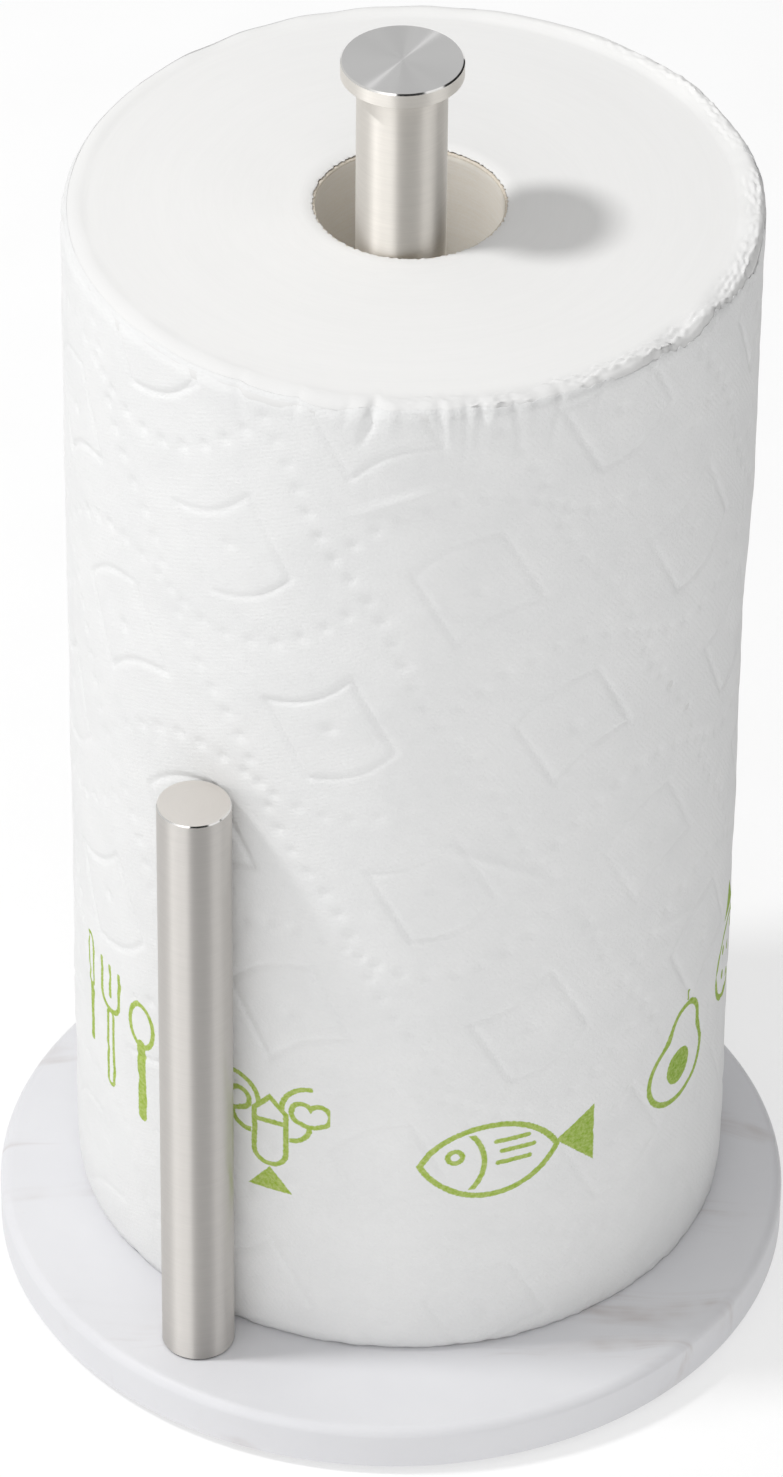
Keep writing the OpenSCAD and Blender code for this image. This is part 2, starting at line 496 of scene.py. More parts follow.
def draw_lobster(p, x, y):
    """A lobster from above: body, pointed head, tail fan, two feelers and two claws."""
    tip = (x, y + 7.6)
    head = p.common(p.side((x - 4, y), 180), p.side((x + 4, y), 0), p.side(tip, 42), p.side(tip, 138))
    p.put(p.common(head, p.side((x, y), 270)), LINE)
    p.put(p.common(p.bar((x, y - 9), (x, y + 3), 4.0), p.side((x, y), 90)), LINE)
    p.put(p.common(p.side((x, y - 21), 270), p.side((x, y - 14), 38), p.side((x, y - 14), 142)))
    for way in (-1, 1):
        outward = 0 if way > 0 else 180
        upper = (x + way * 10.5, y + 4.8)
        p.line_arc(upper, 7.6, LINE, (upper, outward), ((x, y + 4.3), 270))
        lower = (x + way * 4.9, y + 0.6)
        p.line_arc(lower, 4.9, LINE, (lower, 180 - outward), ((x, y + 0.9), 90))
        lobes = (p.oval((x + way * 8.0, y + 4.6), 2.7, 3.0), p.oval((x + way * 12.2, y + 4.6), 2.7, 3.0))
        point = p.oval((x + way * 10.1, y + 3.4), 3.4, 2.5)
        p.put(p.m.math("MINIMUM", p.m.math("MINIMUM", *lobes), point), LINE)


def draw_fish(p, x, y):
    p.put(p.common(p.oval((x - 5, y - 8), 18.6, 18.6), p.oval((x - 5, y + 8), 18.6, 18.6)), LINE + 0.1)
    nip = (x + 11.6, y + 1.0)
    p.put(p.common(p.side(nip, 122), p.side(nip, 225), p.side((x + 22.0, y), 0)))
    p.line_arc((x - 19.5, y), 13.0, LINE, ((0, y + 8.3), 90), ((0, y - 8.3), 270), ((x - 12, 0), 180))
    p.put(p.oval((x - 13.5, y + 2.2), 1.75, 1.75), 0.6)
    for level, shift in ((5.4, 0.0), (2.2, 1.4), (-1.2, 0.4)):
        p.put(p.bar((x - 3.5 + shift, y + level), (x + 4.3 + shift, y + level), 0.62))


def draw_avocado(p, x, y):
    belly = p.oval((x + 0.5, y - 2.9), 11.4, 9.8)
    neck = p.oval((x + 3.3, y + 6.8), 6.2, 7.0)
    p.put(p.m.math("SMOOTH_MIN", belly, neck, 5.0), 0.72)
    p.put(p.oval((x + 0.6, y - 3.0), 4.7, 4.9))
    p.put(p.bar((x + 4.2, y + 15.2), (x + 4.8, y + 17.0), 0.4))


def draw_berry(p, x, y):
    p.put(p.oval((x, y - 1.5), 11.4, 10.8), 0.75)
    p.put(p.common(p.side((x, y + 12), 270), p.side((x, y + 21), 30), p.side((x, y + 21), 150)))
    for across, up in ((-5.5, 3.5), (5.5, 3.5), (0.0, 1.0), (-5.5, -4.0), (5.5, -4.0), (0.0, -7.5)):
        p.put(p.oval((x + across, y + up), 0.95, 1.3))


def paper_material(name, printed):
    """Soft white paper with a fine pressed texture, and with the band of green kitchen pictograms."""
    m = Material(name)
    place = m.paper_place()
    along = m.split(place, 0)
    up = m.split(place, 1)
    fibre = m.noise(place, 1.1, 4.0, 0.75)
    patch = m.noise(place, 0.055, 3.0, 0.6)
    wobble = m.times(m.noise(place, 0.42, 2.0), 2.2)
    first = m.math("ADD", m.times(along, 3.35), m.times(up, -1.1))
    second = m.math("ADD", m.times(along, 0.95), m.times(up, 4.35))
    lumps = m.times(m.math("SINE", m.math("ADD", first, wobble)),
                    m.math("SINE", m.math("ADD", second, wobble)))
    texture = m.times(lumps, m.spread(patch, 0.35, 0.65, 0.35, 1.0))
    height = m.math("ADD", m.times(texture, 0.15), m.times(fibre, 1.6))
    tone = m.math("ADD", m.times(patch, 0.6), m.times(fibre, 0.4))
    body = m.mix(m.spread(tone, 0.35, 0.65), colour(0.829, 0.832, 0.830), colour(0.870, 0.871, 0.867))
    # Painted shade: the paper is painted darker in its top few mm, over the rounded upper edge, to tone down
    # the light on that rounding.
    near_rim = m.spread(up, WRAP.high - 4.5, WRAP.high - 0.8, smooth=True)
    body = m.mix(near_rim, body, colour(0.765, 0.767, 0.765))
    if printed:
        body = printed_colour(m, place, along, up, body)
    return m.finish(
        Base_Color=body,
        Roughness=m.spread(fibre, 0.3, 0.7, 0.9, 1.0),
        Specular_IOR_Level=0.2,
        Normal=m.bump(height, 0.00021, 0.6),
    )


def printed_colour(m, place, along, up, paper):
    """The paper's colour with the printed band on it. The band repeats after half a turn, and its green is
    richest near the avocado and in solid shapes."""
    repeated = m.math("FLOORED_MODULO", along, TURN_LENGTH / 2)
    frayed = m.noise(place, 1.3, 3.0, 0.7)
    p = Pictogram(m, m.join(repeated, up, 0.0))
    for draw, angle, height in PRINTS:
        draw(p, arc_at(angle) % (TURN_LENGTH / 2), height)
    edge = m.math("ADD", p.ink, m.times(m.math("SUBTRACT", frayed, 0.5), 0.7))
    cover = m.spread(edge, -0.06, 0.20, 1.0, 0.0, smooth=True)
    mottle = m.noise(place, 0.9, 4.0, 0.75)
    turn = m.times(m.math("SUBTRACT", repeated, FULL_INK), 4 * math.pi / TURN_LENGTH)
    near = m.spread(m.math("COSINE", turn), -0.6, 1.0)
    solid = m.spread(p.ink, -1.4, -0.5, 1.0, 0.6)
    density = m.times(cover, m.spread(mottle, 0.3, 0.62, 0.80, 0.97))
    tone = m.spread(mottle, 0.35, 0.65)
    pale = m.mix(tone, colour(0.46, 0.57, 0.09), colour(0.30, 0.45, 0.03))
    rich = m.mix(tone, colour(0.36, 0.51, 0.035), colour(0.19, 0.355, 0.01))
    return m.mix(density, paper, m.mix(m.times(near, solid), pale, rich))


# ---- the roll's shape

TURN_LENGTH = 2 * math.pi * WRAP.r
TAIL_ANGLE = 78.0
PAPER_PROUD = 0.30
PAPER_LIMIT = 0.50
EDGE_SHARE = 0.0003
HALF_ROUND = 1 - math.sqrt(0.5)


def arc_at(angle):
    """Millimetres along the paper from the loose end to this direction, counted anticlockwise."""
    return (angle - TAIL_ANGLE) % 360 / 360 * TURN_LENGTH


# The embossing: a skew lattice of framed dots, with dotted rows between them. In mm along and up.
CELL_ALONG = np.array([57.4, -5.0])
CELL_DOWN = np.array([24.0, -45.5])
CELL_START = np.array([arc_at(-120), 247.0])
FRAME_TILT = 27
FRAME_HALF = 11.2
DOT_PITCH = 6.4

# Each drawing with its direction from the roll's axis and its middle's height above the table
PRINTS = (
    (draw_knife, -158.8, 84.0),
    (draw_fork, -151.0, 80.5),
    (draw_spoon, -141.0, 78.0),
    (draw_lobster, -112.8, 80.8),
    (draw_fish, -70.7, 72.3),
    (draw_avocado, -33.7, 77.0),
    (draw_berry, -9.0, 84.8),
)
PRINT_BAND = (52.0, 109.0)


def dot_rows():
    """The dots of one pair of cells: a steep row beside each cell and a curved row below each."""
    dots = []
    step = np.linalg.norm(CELL_DOWN)
    steep = CELL_DOWN / step
    beside = np.array([-steep[1], steep[0]])
    for column in (0, 1):
        edge = (column + 0.5) * CELL_ALONG
        for share in np.arange(0, 1, DOT_PITCH / step):
            dots.append(edge + share * CELL_DOWN + 1.2 * math.sin(2 * math.pi * share) * beside)
        way = 1 if column == 0 else -1
        middle = column * CELL_ALONG + 0.5 * CELL_DOWN
        along = -25.0
        while along < 21:
            rise = 0.018 * (along + 11) ** 2 - 3
            dots.append(middle + way * np.array([along, rise]))
            along += DOT_PITCH / math.hypot(1, 0.036 * (along + 11))
    return np.array(dots)


def from_cell(points, centre, across, down):
    """The points as seen from the nearest repeat of centre in a lattice."""
    offset = points - centre
    whole = np.round(offset @ np.linalg.inv(np.array([across, down])))
    return offset - whole @ np.array([across, down])


def dent(distance, width):
    return np.exp(-(distance / width) ** 2)


def eased(share):
    """The share, clipped to 0 to 1 and smoothed at both ends."""
    held = np.clip(share, 0, 1)
    return held * held * (3 - 2 * held)


def arc_from(angle, degrees):
    """Millimetres round the roll from this direction, less than half a turn either way."""
    return (np.mod(angle - math.radians(degrees) + math.pi, 2 * math.pi) - math.pi) * WRAP.r


def framed_dot(offset, sag):
    """A tilted square of four pressed lines with a dot in it; sag bends its upper and lower lines."""
    turn = math.radians(FRAME_TILT)
    across = offset[..., 0] * math.cos(turn) + offset[..., 1] * math.sin(turn)
    up = offset[..., 1] * math.cos(turn) - offset[..., 0] * math.sin(turn)
    sides = np.hypot(np.abs(across) - FRAME_HALF, np.maximum(np.abs(up) - FRAME_HALF, 0))
    bow = sag * 2.6 * np.cos(np.clip(across / FRAME_HALF, -1, 1) * math.pi / 2)
    beyond = np.maximum(np.abs(across) - FRAME_HALF, 0)
    lines = np.hypot(np.abs(up + bow) - FRAME_HALF, beyond)
    dot = np.hypot(across, up)
    return np.maximum(dent(np.minimum(sides, lines), 0.72), dent(dot, 1.45))


def embossing(arc_mm, height):
    """How deep the pattern is pressed, from 0 to 1, at points of the paper."""
    points = np.stack(np.broadcast_arrays(arc_mm, height), axis=-1) - CELL_START
    pair = 2 * CELL_ALONG
    depth = np.zeros(points.shape[:2])
    for dot in dot_rows():
        offset = from_cell(points, dot, pair, CELL_DOWN)
        np.maximum(depth, dent(np.hypot(offset[..., 0], offset[..., 1]), 1.35), out=depth)
    for column, sag in ((0, 1), (1, -1)):
        offset = from_cell(points, column * CELL_ALONG, pair, CELL_DOWN)
        np.maximum(depth, framed_dot(offset, sag), out=depth)
    return depth


def softness(angle):
    """How rounded the roll's upper edge is in this direction: 1 at its left and back, 0 at its right, where
    it is torn."""
    return 1 - np.clip((np.cos(angle + math.radians(15)) + 0.1) / 1.1, 0, 1)


def toward(angle, degrees):
    """1 in this direction, falling to 0 a quarter turn away from it."""
    return np.clip(np.cos(angle - math.radians(degrees)), 0, 1)


def rim_crest(angle):
    """Height of the raised rim, where the outer turns stand a little proud, most of all at the back right."""
    arc_mm = angle * WRAP.r
    torn = 1 - softness(angle)
    uneven = (0.10 + 0.22 * torn) * waves(arc_mm, 0.0, 16.0, 6) + 0.10 * torn * waves(arc_mm, 0.0, 4.0, 5)
    return WRAP.high + 0.15 + 0.5 * toward(angle, 110) + 1.15 * toward(angle, 48) + uneven


def rim_radius(angle):
    """Radius of the rounding at the roll's upper edge."""
    return 2.0 + 3.0 * softness(angle)


def quarter_round(depth, radius):
    """How far a quarter round has moved in, at this depth from its tangent."""
    share = np.clip(1 - depth / radius, 0, 1)
    return radius * (1 - np.sqrt(1 - share ** 2))


# Torn steps in the upper edge: direction, drop in mm and width
TORN_STEPS = ((-14, 4.2, 5.5), (-52, 1.6, 4.0), (-38, 1.2, 7.0), (2, 1.6, 6.0), (24, 1.8, 8.0),
              (-103, 0.9, 5.0))


def rim_edge(angle):
    """Height of the last turn's upper edge, half way round the rounding, with a few torn steps."""
    arc_mm = angle * WRAP.r
    torn = 1 - softness(angle)
    edge = shoulder(angle)
    ragged = 0.26 * waves(arc_mm, 0.0, 3.0, 7) + 0.42 * waves(arc_mm, 0.0, 9.0, 16) - 0.5
    for place, drop, width in TORN_STEPS:
        edge = edge - drop * np.clip(1.4 - np.abs(arc_from(angle, place)) / width, 0, 1) ** 0.7
    return edge + ragged * torn ** 1.5


# Folds at the front of the upper edge: direction, depth in mm, width, length and slant
FOLDS = (
    (-95.2, 1.70, 1.4, 12, 0.30), (-92.4, -0.55, 1.6, 9, 0.10), (-85.2, 0.65, 0.8, 15, -0.10),
    (-83.6, -0.50, 0.7, 16, -0.05), (-80.6, 0.65, 0.7, 20, 0.05), (-78.0, 0.75, 0.9, 16, 0.12),
    (-76.2, -0.40, 0.8, 14, 0.10), (-73.0, 0.65, 0.8, 17, -0.12), (-70.5, -0.40, 0.9, 11, 0.0),
    (-64.8, 0.65, 1.0, 16, 0.18), (-57.0, 0.45, 1.2, 11, 0.25), (-108.0, 0.45, 1.2, 8, 0.1),
    (-99.5, 0.45, 0.9, 8, 0.2), (-119.0, 0.60, 1.8, 13, -0.2), (-47.0, 0.40, 1.2, 9, 0.2),
)


def pleats(angle, below):
    """Small folds that run down from the upper edge at the front, as inward depth in mm."""
    depth = np.zeros(np.broadcast(angle, below).shape)
    for place, deep, width, length, slant in FOLDS:
        aside = arc_from(angle, place) + slant * below
        fade = np.clip(1 - below / length, 0, 1)
        depth += deep * dent(aside, width * (1 - 0.4 * (1 - fade))) * fade
    return depth


def creases(arc_mm, height):
    """Three faint ridges where the paper was handled, as outward height in mm."""
    ridge = np.zeros(np.broadcast(arc_mm, height).shape)
    marks = ((-90, 268, 24, 21, 0.45), (-76, 163, 37, -29, 0.35), (-38, 122, 26, -12, 0.25))
    for angle, middle, length, slope, tall in marks:
        turn = math.radians(slope)
        x = arc_mm - arc_at(angle)
        y = height - middle
        along = x * math.cos(turn) + y * math.sin(turn)
        aside = y * math.cos(turn) - x * math.sin(turn)
        bent = aside + 0.004 * along ** 2
        ridge += tall * dent(bent, 1.3) * dent(along, length / 2)
    return ridge


def foot_tuck(angle, height):
    """How far the roll's lower edge is tucked in, most of all at the front left."""
    near = np.clip(np.cos(angle - math.radians(245)), 0, 1)
    return (0.5 + 1.3 * near) * np.clip(1 - (height - WRAP.low) / 4.5, 0, 1) ** 2


def wall_radius(angle, height):
    """Radius of the roll's wall before relief: clear of the bar lower down, a little fuller above it at
    the right."""
    fuller = 1.5 * (0.5 + 0.5 * np.cos(angle - math.radians(15))) * eased((height - BAR_TOP.high - 3) / 45)
    return WRAP.r + PAPER_PROUD + fuller


def wrap_radius(angle, height):
    """Radius of the paper's outer face, in mm, with all its relief."""
    arc_mm = np.mod(angle - math.radians(TAIL_ANGLE), 2 * math.pi) * WRAP.r
    below = np.maximum(rim_crest(angle) - height, 0)
    strength = np.clip(0.9 + 0.2 * waves(arc_mm, height, 60, 3), 0.5, 1.15)
    strength = strength * np.clip(0.55 + (height - 55) / 110, 0.55, 1) * (1 - 0.25 * toward(angle, -35))
    pressed = 0.5 * strength * embossing(arc_mm, height) * np.clip(below / 5, 0, 1)
    loose = 0.08 * waves(arc_mm, height, 46, 1) + 0.04 * waves(arc_mm, height, 13, 2)
    loose = loose + 0.014 * waves(arc_mm, height, 5.5, 4)
    foot = np.clip(1 - (height - WRAP.low) / 1.5, 0, 1)
    frayed = (0.14 * waves(arc_mm, 0.0, 9.0, 8) + 0.08 * waves(arc_mm, 0.0, 3.0, 9)) * foot
    relief = loose + frayed + creases(arc_mm, height) - pressed - spiral_step(arc_mm, height)
    free = np.clip((height - BAR_TOP.high - 3) / 10, 0, 1)
    held = np.minimum(wall_radius(angle, height) + relief, WRAP.r + PAPER_LIMIT + 2 * free)
    return held - quarter_round(below, rim_radius(angle)) - foot_tuck(angle, height) - pleats(angle, below)


def spiral_step(arc_mm, height):
    """The last turn lies on the one below it: the surface steps down by a sheet at the perforated end."""
    step = 0.34
    teeth = 0.35 * np.abs(np.mod(height, 2.4) - 1.2) + 0.25 * waves(0.0, height, 30, 12)
    past = arc_mm - 0.6 - teeth
    rise = np.clip(past / 0.75, 0, 1)
    lifted = 0.22 * dent(past - 1.6, 3.5) * rise
    return step * (1 - rise) + step * arc_mm / TURN_LENGTH * rise * 0.9 - lifted


def last_turn():
    """The outer sheet of paper: a thin closed shell with the embossing pressed into its outer face."""
    around, up, inner_up = 700, 396, 30
    angle = np.linspace(0, 2 * math.pi, around, endpoint=False) + math.radians(TAIL_ANGLE)
    top = rim_edge(angle)
    foot = WRAP.low + 0.16 + 0.10 * waves(angle * WRAP.r, 0.0, 3.4, 10)
    foot = np.maximum(foot, WRAP.low)
    share = np.append(np.linspace(0, 1 - EDGE_SHARE, up - 1), 1.0)[:, None]
    height = foot + share * (top - foot)
    outer = wrap_radius(angle[None, :], height)
    inner_share = (0.5 - 0.5 * np.cos(np.linspace(math.pi, 0, inner_up)))[:, None]
    inner_height = foot + inner_share * (top - foot)
    inner = under_radius(angle[None, :], inner_height)
    radius = np.vstack([outer, inner])
    level = np.vstack([height, inner_height])
    mesh = ring_mesh("last_turn", round_an_axis(WRAP, radius, angle, level), "join")
    lay_paper_map(mesh, around, level)
    return new_object("last_turn", mesh)


def under_radius(angle, height):
    """Radius of the smooth face just under the last turn, close under it at the upper edge."""
    below = np.maximum(rim_crest(angle) - height, 0)
    sheet = 0.08 + 0.16 * (1 - softness(angle)) + 0.9 * np.clip(below / 8 - 0.25, 0, 1)
    folds = 0.95 * pleats(angle, below)
    inward = quarter_round(below, rim_radius(angle))
    return wall_radius(angle, height) - sheet - inward - folds - foot_tuck(angle, height)


def lay_paper_map(mesh, around, level):
    """A map in millimetres, along the paper and up, and the printed band's faces in the second slot."""
    layer = mesh.uv_layers.new(name="paper_mm")
    corner = np.zeros(len(mesh.loops), dtype=np.int32)
    mesh.loops.foreach_get("vertex_index", corner)
    column = corner % around
    row = corner // around
    quads = column.reshape(-1, 4)
    last = (quads.max(axis=1) == around - 1) & (quads.min(axis=1) == 0)
    unrolled = np.where(last[:, None] & (quads == 0), around, quads).reshape(-1)
    along = unrolled / around * TURN_LENGTH
    layer.data.foreach_set("uv", np.stack([along, level[row, column]], axis=-1).ravel())
    face_level = level[row, column].reshape(-1, 4).mean(axis=1)
    inside = (face_level > PRINT_BAND[0]) & (face_level < PRINT_BAND[1])
    mesh.polygons.foreach_set("material_index", inside.astype(np.int32))


def ply_ridges(angle, inside):
    """Height of the loose plies' lumpy edges in the outer few mm of the roll's top, counted in from its
    edge, with a groove behind each."""
    arc_mm = angle * WRAP.r
    torn = 1 - softness(angle)
    relief = np.zeros(np.broadcast(angle, inside).shape)
    clear = np.clip((inside - 0.5) / 0.9, 0, 1)
    for turn in range(3):
        place = 0.8 + 1.2 * turn + 0.30 * waves(arc_mm, 0.0, 20.0, 21 + turn)
        place = place + 0.30 * waves(arc_mm, 0.0, 3.0, 31 + turn)
        present = np.clip(0.6 + 0.5 * waves(arc_mm, 0.0, 24.0, 41 + turn), 0, 1.2)
        present = present * np.clip(1 + 0.7 * waves(arc_mm, 0.0, 2.6, 51 + turn), 0.05, 2.2)
        tall = 0.42 - 0.08 * turn
        relief += tall * present * dent(inside - place, 0.45)
        relief -= 0.6 * tall * present * dent(inside - place - 0.75, 0.40) * clear
    return relief * (0.02 + 0.98 * torn ** 1.3)


def shoulder(angle):
    """Height of the point half way round the roll's rounded upper edge."""
    return rim_crest(angle) - HALF_ROUND * rim_radius(angle)


def top_level(angle, radius):
    """Height of the roll's top in mm: nearly flat, with a raised and rounded rim that follows the folds."""
    edge = under_radius(angle, shoulder(angle))
    inside = edge - radius + HALF_ROUND * rim_radius(angle)
    raised = (rim_crest(angle) - WINDING.high) * (1 - eased((inside - 1.2) / 5.5))
    arc_mm = angle * WRAP.r
    loose = 0.05 * (waves(arc_mm, radius * 3, 90, 32) - 1.5) * np.clip((radius - CORE.r) / 6, 0, 1)
    mouth = 0.5 * np.clip(1 - (radius - CORE.r) / 1.6, 0, 1) ** 2
    rounding = quarter_round(inside, rim_radius(angle))
    return WINDING.high - 0.05 + raised + loose - rounding - mouth + ply_ridges(angle, inside - 0.4)


def wound_paper():
    """The wound paper inside the last turn, with the plies' edges showing on its top."""
    rim_band = 8.7
    wall_band = 14.0
    angle = np.linspace(0, 2 * math.pi, 720, endpoint=False)
    inner_r = CORE.r + 0.05
    edge = under_radius(angle, shoulder(angle))
    wall_top = top_level(angle, edge)
    rings = [(inner_r, WINDING.low), (under_radius(angle, WINDING.low), WINDING.low)]
    for share in np.linspace(0, 1, 14):
        level = WINDING.low + 0.5 + share * (wall_top - WINDING.low - 0.5)
        level = np.where(share > 0.3, wall_top - (1 - share) * wall_band, level)
        rings.append((under_radius(angle, level) - 0.04, level))
    for inset in np.arange(0.15, rim_band, 0.26):
        rings.append((edge - inset, top_level(angle, edge - inset)))
    for share in np.arange(1.0, 0.0, -1 / 34)[1:]:
        radius = inner_r + share * (edge - rim_band - inner_r)
        rings.append((radius, top_level(angle, radius)))
    rings.append((inner_r + 0.3, top_level(angle, inner_r + 0.3)))
    lip = inner_r - 0.5 + 0.12 * waves(angle * WRAP.r, 0.0, 5.0, 60)
    rings.append((lip + 0.15, top_level(angle, lip)))
    rings.append((lip, top_level(angle, lip) - 0.12))
    rings.append((inner_r, top_level(angle, inner_r) - 0.25))
    points = [round_an_axis(WINDING, radius, angle, height) for radius, height in rings]
    return new_object("wound_paper", ring_mesh("wound_paper", np.array(points), "join"))


def core_tube():
    """The board tube, its upper rim a little fluffed where it was sawn. The profile gives each ring's radius,
    height and share of the fluff."""
    around = 360
    angle = np.linspace(0, 2 * math.pi, around, endpoint=False)
    rng = np.random.default_rng(7)
    fluff = np.clip(rng.normal(0.0, 0.06, around), -0.25, 0.0)
    inner_r = CORE.r - CORE_WALL
    rim = CORE.high - 0.95
    profile = (
        (inner_r, CORE.low, 0), (CORE.r, CORE.low, 0), (CORE.r, rim - 0.3, 0), (CORE.r - 0.12, rim - 0.06, 1),
        (CORE.r - 0.4, rim, 1), (inner_r + 0.35, rim, 1), (inner_r + 0.1, rim - 0.1, 1),
        (inner_r, rim - 0.4, 0.4), (inner_r, rim - 2, 0),
    )
    rings = []
    for radius, level, torn in profile:
        wander = 0.05 * waves(angle * WRAP.r, 0.0, 40.0, 50) * torn
        rings.append(round_an_axis(CORE, radius + wander, angle, level + fluff * torn))
    return new_object("core_tube", ring_mesh("core_tube", np.array(rings), "join"))


# ---- the holder's pieces

def screw_pocket(washer_node):
    """The clearance hole's radius, the counterbore's radius, its ceiling, and the washer that gives them."""
    washer = Round(washer_node)
    return washer.r / 2 + 0.5, washer.r + 1.0, washer.high, washer


def stone_disc():
    """The stone, turned with its soft upper edge, and drilled from below for the two screws."""
    hole_r, pocket_r, ceiling, _ = screw_pocket("rod_washer")
    r, low, high = STONE.r, STONE.low, STONE.high
    profile = [(pocket_r, low), (r - STONE_CHAMFER, low), (r, low + STONE_CHAMFER)]
    profile += arc(r - STONE_EDGE_R, high - STONE_EDGE_R, STONE_EDGE_R, 0, 90, 12)
    profile += [(hole_r, high), (hole_r, ceiling), (pocket_r, ceiling)]
    stone = lathe("stone_disc", profile, STONE, "join", around=320)
    hole_r, pocket_r, ceiling, washer = screw_pocket("bar_washer")
    drill = [(pocket_r, low - 1), (pocket_r, ceiling), (hole_r, ceiling), (hole_r, high + 1)]
    cut(stone, lathe("cutter", drill, washer, "cap", around=64))
    stone.data.shade_smooth()
    even_shading(stone)
    return stone


def foam_pad():
    """The non-slip pad, its edge rounded by the punch."""
    soft = 0.5
    profile = [(PAD.r - 0.1, PAD.low)] + arc(PAD.r - soft, PAD.high - soft, soft, 0, 90, 5)
    return lathe("foam_pad", profile, PAD, "cap", around=200)


def tube(name, size):
    """An upright tube with its ends just broken."""
    e = 0.12
    inner = size.r - TUBE_WALL
    profile = [(inner, size.low), (size.r - e, size.low), (size.r, size.low + e), (size.r, size.high),
               (inner, size.high)]
    return lathe(name, profile, size, "join")


def top_disc(name, size, tube_size, lower_bevel, bevel):
    """A tube's end disc, with its spigot in the tube."""
    spigot_r = tube_size.r - TUBE_WALL
    under = tube_size.high
    profile = [(spigot_r - 0.5, size.low), (spigot_r, size.low + 0.5), (spigot_r, under)]
    if lower_bevel:
        profile += [(size.r - lower_bevel, under), (size.r, under + lower_bevel)]
    else:
        profile += [(size.r, under)]
    profile += [(size.r, size.high - bevel), (size.r - bevel, size.high)]
    return lathe(name, profile, size, "cap")


def dress(piece, body, slot, material, *nodes):
    """Gives a piece its body and material, and hides the CAD nodes that it stands for. The slot is not used.
    """
    piece.data.materials.clear()
    piece.data.materials.append(material)
    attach(piece, body)
    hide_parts(*nodes)
    return piece


def build_holder():
    dress(stone_disc(), "holder", "marble", marble_material(), "marble_base")
    dress(foam_pad(), "holder", "pad_foam", foam_material(), "base_pad")
    # The rod and the bar are one steel. Their two tints are painted light and shade: the rod's steel is
    # painted lighter and the bar's darker, after how each catches the room's light.
    rod_tint_with_painted_light = (0.91, 0.875, 0.82)
    bar_tint_with_painted_shade = (0.71, 0.685, 0.655)
    rod_wall = brushed_steel("brushed_rod", ROD, False, rod_tint_with_painted_light, 0.49)
    bar_wall = brushed_steel("brushed_bar", BAR, False, bar_tint_with_painted_shade, 0.49)
    dress(tube("rod_tube", ROD), "holder", "brushed_tube", rod_wall, "center_rod")
    dress(tube("bar_tube", BAR), "holder", "brushed_tube", bar_wall, "side_bar")
    rod_disc = dress(top_disc("rod_top_disc", ROD_TOP, ROD, DISC_BEVEL, DISC_BEVEL), "holder", "brushed_disc",
                     brushed_steel("brushed_rod_disc", ROD, False, rod_tint_with_painted_light, 0.44), "rod_cap")
    bar_disc = dress(top_disc("bar_top_disc", BAR_TOP, BAR, 0.0, BAR_BEVEL), "holder", "brushed_disc",
                     brushed_steel("brushed_bar_disc", BAR, False, bar_tint_with_painted_shade, 0.49), "bar_cap")
    edge = polished_edge()
    # Painted light: the bar's turned top face is painted lighter and warmer than the rod's, though both are
    # the same steel.
    turned_rod = brushed_steel("turned_rod_disc", ROD, True, (0.77, 0.765, 0.76), 0.25, 1.0, 0.015)
    turned_bar = brushed_steel("turned_bar_disc", BAR, True, (0.83, 0.795, 0.755), 0.44, 0.2, 0.03)
    face_finish(rod_disc, ROD_TOP, turned_rod, edge)
    face_finish(bar_disc, BAR_TOP, turned_bar, edge)


def face_finish(piece, size, face_material, edge_material):
    """Gives the top face of a disc its own finish, and its bevels a polished one."""
    piece.data.materials.append(face_material)
    piece.data.materials.append(edge_material)
    for face in piece.data.polygons:
        out = math.hypot(face.center.x / MM - size.x, face.center.y / MM - size.y)
        if face.normal.z > 0.99 and len(face.vertices) > 4:
            face.material_index = 1
        elif out > size.r - 0.6 and 0.1 < abs(face.normal.z) < 0.99:
            face.material_index = 2


def build_fasteners():
    """The hidden small parts keep their CAD shape and take real finishes."""
    bush = machined_steel("bush_steel", (0.55, 0.55, 0.54), 0.42)
    screw = machined_steel("screw_steel", (0.58, 0.58, 0.58), 0.36)
    washer = machined_steel("washer_steel", (0.66, 0.66, 0.66), 0.32)
    spring = machined_steel("spring_steel", (0.42, 0.41, 0.40), 0.45)
    rubber = gasket_material()
    finishes = {"insert": bush, "screw": screw, "washer": washer, "lock_washer": spring, "gasket": rubber}
    for upright in ("rod", "bar"):
        for part, material in finishes.items():
            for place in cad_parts[f"{upright}_{part}"].material_slots:
                place.material = material


def build_roll():
    dress(core_tube(), "core", "core_board", board_material(), "roll_core")
    wound = dress(wound_paper(), "paper", "wound_paper", winding_material(), "towel_winding")
    wrap = last_turn()
    bands = np.zeros(len(wrap.data.polygons), dtype=np.int32)
    wrap.data.polygons.foreach_get("material_index", bands)
    dress(wrap, "paper", "printed_paper", paper_material("towel_paper", False), "outer_wrap")
    wrap.data.materials.append(paper_material("towel_paper_printed", True))
    wrap.data.polygons.foreach_set("material_index", bands)


# ---- stage, light and camera

# How bright the room is round the object, by direction from the camera's side, positive to the right:
# first as the metal mirrors it, with its softboxes and dark screens, then as the soft light that it gives
ROOM = ((-180, 0.62), (-152, 0.65), (-148, 0.80), (-100, 0.72), (-76, 0.76), (-62, 1.30), (-46, 1.70),
        (-16, 1.85), (-11, 0.04), (46, 0.04), (53, 0.92), (84, 0.88), (89, 0.03), (153, 0.03), (159, 0.70),
        (180, 0.62))
SOFT_LIGHT = ((-180, 0.20), (-100, 0.24), (-70, 0.45), (-40, 0.85), (0, 0.95), (35, 0.65), (75, 0.10),
              (140, 0.03), (180, 0.20))
OVERHEAD = 0.66
SOFT_OVERHEAD = 0.91
FLOOR_GLOW = 0.52
KEY_DIRECTION = (-0.564, -0.054, 0.824)
KEY_DISTANCE = 2.2
KEY_POWER = 23.6
GLINT_POWER = 9.0

LENS = 207.774
SENSOR = 36.0
CAMERA_PITCH = 38.6
CAMERA_ROLL = 0.577
CAMERA_DISTANCE = 1.9945
AIM = Vector((-0.00094, 0.0, 0.150))
AIM_DROP = 0.002925


